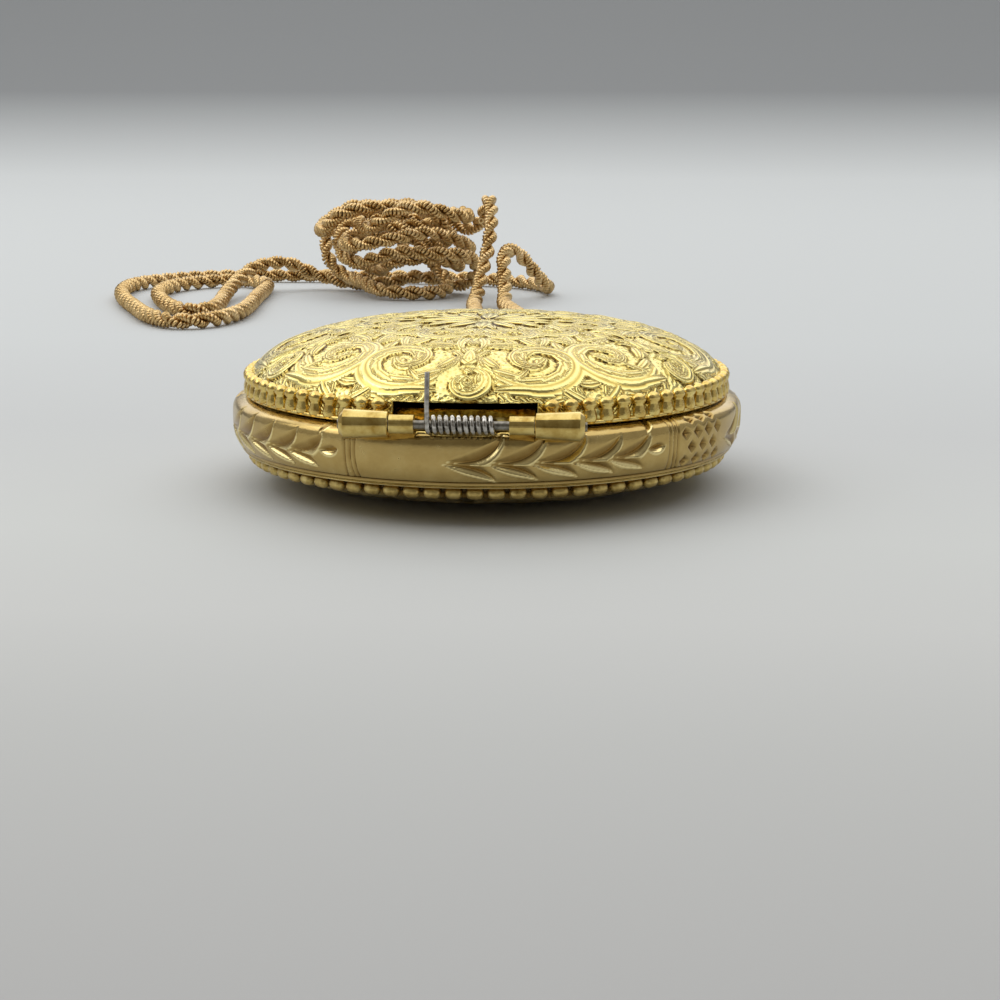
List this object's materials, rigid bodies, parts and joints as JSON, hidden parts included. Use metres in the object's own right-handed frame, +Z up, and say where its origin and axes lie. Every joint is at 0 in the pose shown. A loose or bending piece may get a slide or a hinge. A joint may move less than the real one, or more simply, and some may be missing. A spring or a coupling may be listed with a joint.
{
  "type": "full hunter pocket watch",
  "caption": "Closed hunter-case pendant watch lying on its back, with a hinged front cover, winding crown, bow, rope chain and a complete geared movement.",
  "frame": {"origin": "on the case axis at the table, at the middle of the flat that the case back rests on", "axes": "+Z up through the closed cover, +Y towards the crown and bow, -Y towards the cover hinge, +X to the right seen from the hinge side"},
  "size_m": [0.0817, 0.1683, 0.0144],
  "materials": {
    "gold_case": "polished and engraved gold",
    "gold_chain": "satin gold",
    "spring_steel": "dull steel wire",
    "steel": "polished steel",
    "blued_steel": "blued steel",
    "nickel": "damascened nickel",
    "wheel_brass": "gilt brass",
    "enamel": "white enamel",
    "marker_paint": "black enamel figures",
    "glass": "clear crystal",
    "ruby": "ruby jewel",
    "seal_rubber": "matt black ring"
  },
  "bodies": {
    "case": {"mid_case": "gold_case", "case_back": "gold_case", "bezel": "gold_case", "crystal": "glass", "dial": "enamel", "hour_markers": "marker_paint", "movement_ring": "wheel_brass", "mainplate": "nickel", "barrel_bridge": "nickel", "train_bridge": "nickel", "pallet_cock": "nickel", "balance_cock": "nickel", "bridge_screws": "blued_steel", "jewels": "ruby", "hinge_pin": "spring_steel", "cover_spring": "spring_steel", "catch_spring": "spring_steel", "hairspring": "blued_steel", "chain_turn": "gold_chain", "chain_left_strand": "gold_chain", "chain_right_strand": "gold_chain", "chain_tail": "gold_chain", "chain_heap": "gold_chain"},
    "cover": {"front_cover": "gold_case"},
    "bow": {"bow": "gold_case"},
    "push_button": {"push_tube": "steel"},
    "catch": {"cover_catch": "steel"},
    "pull_sleeve": {"crown_gasket": "seal_rubber"},
    "crown_and_stem": {"crown": "gold_case", "winding_stem": "steel"},
    "clutch": {"clutch_lever": "steel"},
    "lever": {"setting_lever": "steel"},
    "winding": {"winding_pinion": "steel"},
    "sliding": {"sliding_pinion": "steel"},
    "crown_wheel": {"crown_wheel": "steel"},
    "ratchet": {"ratchet_wheel": "steel", "barrel_arbor": "steel"},
    "click": {"click": "steel"},
    "minute_hand_body": {"cannon_pinion": "steel", "minute_hand": "blued_steel"},
    "hour_hand_body": {"hour_wheel": "wheel_brass", "hour_hand": "blued_steel"},
    "minute_wheel": {"minute_wheel": "wheel_brass"},
    "setting_wheel": {"setting_wheel": "wheel_brass"},
    "escape_wheel": {"escape_wheel": "steel"},
    "fourth_wheel": {"fourth_wheel": "wheel_brass"},
    "third_wheel": {"third_wheel": "wheel_brass"},
    "centre_wheel": {"centre_wheel": "wheel_brass"},
    "barrel": {"barrel": "wheel_brass", "mainspring": "blued_steel"},
    "pallet_fork": {"pallet_fork": "steel"},
    "balance": {"balance_wheel": "wheel_brass"}
  },
  "joints": [
    {"name": "cover_hinge", "type": "hinge", "parent": "case", "child": "cover", "pos_m": [0, -0.01845, 0.00695], "axis": [1, 0, 0], "range_deg": [0, 95], "deforming": ["cover_spring"]},
    {"name": "bow_swing", "type": "hinge", "parent": "case", "child": "bow", "pos_m": [0, 0.0198, 0.0042], "axis": [1, 0, 0], "range_deg": [0, 108], "deforming": ["chain_turn"]},
    {"name": "crown_push", "type": "slide", "parent": "case", "child": "push_button", "axis": [0, -1, 0], "range_m": [0, 0.0004], "stiffness_N_per_m": 400, "deforming": ["catch_spring"]},
    {"name": "catch_slide", "type": "slide", "parent": "case", "child": "catch", "axis": [0, -1, 0], "range_m": [0, 0.0004]},
    {"name": "crown_pull", "type": "slide", "parent": "push_button", "child": "pull_sleeve", "axis": [0, 1, 0], "range_m": [0, 0.0008]},
    {"name": "clutch_slide", "type": "slide", "parent": "case", "child": "clutch", "axis": [0, -1, 0], "range_m": [0, 0.00025]},
    {"name": "setting_lever_turn", "type": "hinge", "parent": "case", "child": "lever", "pos_m": [0.0029, 0.0094, 0.0046], "axis": [0, 0, 1], "range_deg": [0, 12]},
    {"name": "crown_turn", "type": "hinge", "parent": "pull_sleeve", "child": "crown_and_stem", "pos_m": [0, 0.0237, 0.0042], "axis": [0, 1, 0], "continuous": true},
    {"name": "winding_turn", "type": "hinge", "parent": "case", "child": "winding", "pos_m": [0, 0.0104, 0.0042], "axis": [0, 1, 0], "continuous": true},
    {"name": "sliding_turn", "type": "hinge", "parent": "clutch", "child": "sliding", "pos_m": [0, 0.0087, 0.0042], "axis": [0, 1, 0], "continuous": true},
    {"name": "crown_wheel_turn", "type": "hinge", "parent": "case", "child": "crown_wheel", "pos_m": [0, 0.0072, 0.0028], "axis": [0, 0, 1], "continuous": true},
    {"name": "ratchet_turn", "type": "hinge", "parent": "case", "child": "ratchet", "pos_m": [-0.00491, 0.00283, 0.0028], "axis": [0, 0, 1], "continuous": true, "deforming": ["mainspring"]},
    {"name": "click_swing", "type": "hinge", "parent": "case", "child": "click", "pos_m": [-0.0099, -0.0004, 0.0025], "axis": [0, 0, 1], "range_deg": [0, 8], "stiffness_Nm_per_rad": 0.000001},
    {"name": "minute_turn", "type": "hinge", "parent": "case", "child": "minute_hand_body", "pos_m": [0, 0, 0.0065], "axis": [0, 0, -1], "continuous": true},
    {"name": "hour_turn", "type": "hinge", "parent": "case", "child": "hour_hand_body", "pos_m": [0, 0, 0.006], "axis": [0, 0, -1], "continuous": true},
    {"name": "minute_wheel_turn", "type": "hinge", "parent": "case", "child": "minute_wheel", "pos_m": [0.0012, 0.00208, 0.0056], "axis": [0, 0, -1], "continuous": true},
    {"name": "setting_wheel_turn", "type": "hinge", "parent": "case", "child": "setting_wheel", "pos_m": [0, 0.00568, 0.0055], "axis": [0, 0, -1], "continuous": true},
    {"name": "escape_turn", "type": "hinge", "parent": "case", "child": "escape_wheel", "pos_m": [0.00574, -0.00274, 0.0041], "axis": [0, 0, -1], "continuous": true},
    {"name": "fourth_turn", "type": "hinge", "parent": "case", "child": "fourth_wheel", "pos_m": [0.00359, -0.00581, 0.0041], "axis": [0, 0, -1], "continuous": true},
    {"name": "third_turn", "type": "hinge", "parent": "case", "child": "third_wheel", "pos_m": [0, -0.0045, 0.0041], "axis": [0, 0, -1], "continuous": true},
    {"name": "centre_turn", "type": "hinge", "parent": "case", "child": "centre_wheel", "pos_m": [0, 0, 0.0045], "axis": [0, 0, -1], "continuous": true},
    {"name": "barrel_turn", "type": "hinge", "parent": "case", "child": "barrel", "pos_m": [-0.00491, 0.00283, 0.004], "axis": [0, 0, -1], "continuous": true},
    {"name": "pallet_swing", "type": "hinge", "parent": "case", "child": "pallet_fork", "pos_m": [0.00603, -0.00016, 0.0038], "axis": [0, 0, -1], "range_deg": [-4.5, 4.5]},
    {"name": "balance_swing", "type": "hinge", "parent": "case", "child": "balance", "pos_m": [0.0064, 0.0032, 0.0026], "axis": [0, 0, -1], "range_deg": [-135, 135], "stiffness_Nm_per_rad": 0.00000013, "deforming": ["hairspring"]}
  ],
  "couplings": [
    {"joint": "catch_slide", "follows": "crown_push", "ratio": 1},
    {"joint": "clutch_slide", "follows": "crown_pull", "ratio": 0.3125},
    {"joint": "setting_lever_turn", "follows": "crown_pull", "rad_per_m": 261.8},
    {"joint": "winding_turn", "follows": "crown_turn", "ratio": 1},
    {"joint": "sliding_turn", "follows": "crown_turn", "ratio": 1},
    {"joint": "crown_wheel_turn", "follows": "crown_turn", "ratio": 0.53846},
    {"joint": "ratchet_turn", "follows": "crown_turn", "ratio": -0.36842},
    {"joint": "hour_turn", "follows": "minute_turn", "ratio": 0.083333},
    {"joint": "minute_wheel_turn", "follows": "minute_turn", "ratio": -0.33333},
    {"joint": "setting_wheel_turn", "follows": "minute_turn", "ratio": 0.3},
    {"joint": "fourth_turn", "follows": "escape_turn", "ratio": -0.1},
    {"joint": "third_turn", "follows": "escape_turn", "ratio": 0.013333},
    {"joint": "centre_turn", "follows": "escape_turn", "ratio": -0.0016667},
    {"joint": "barrel_turn", "follows": "escape_turn", "ratio": 0.00025641}
  ]
}
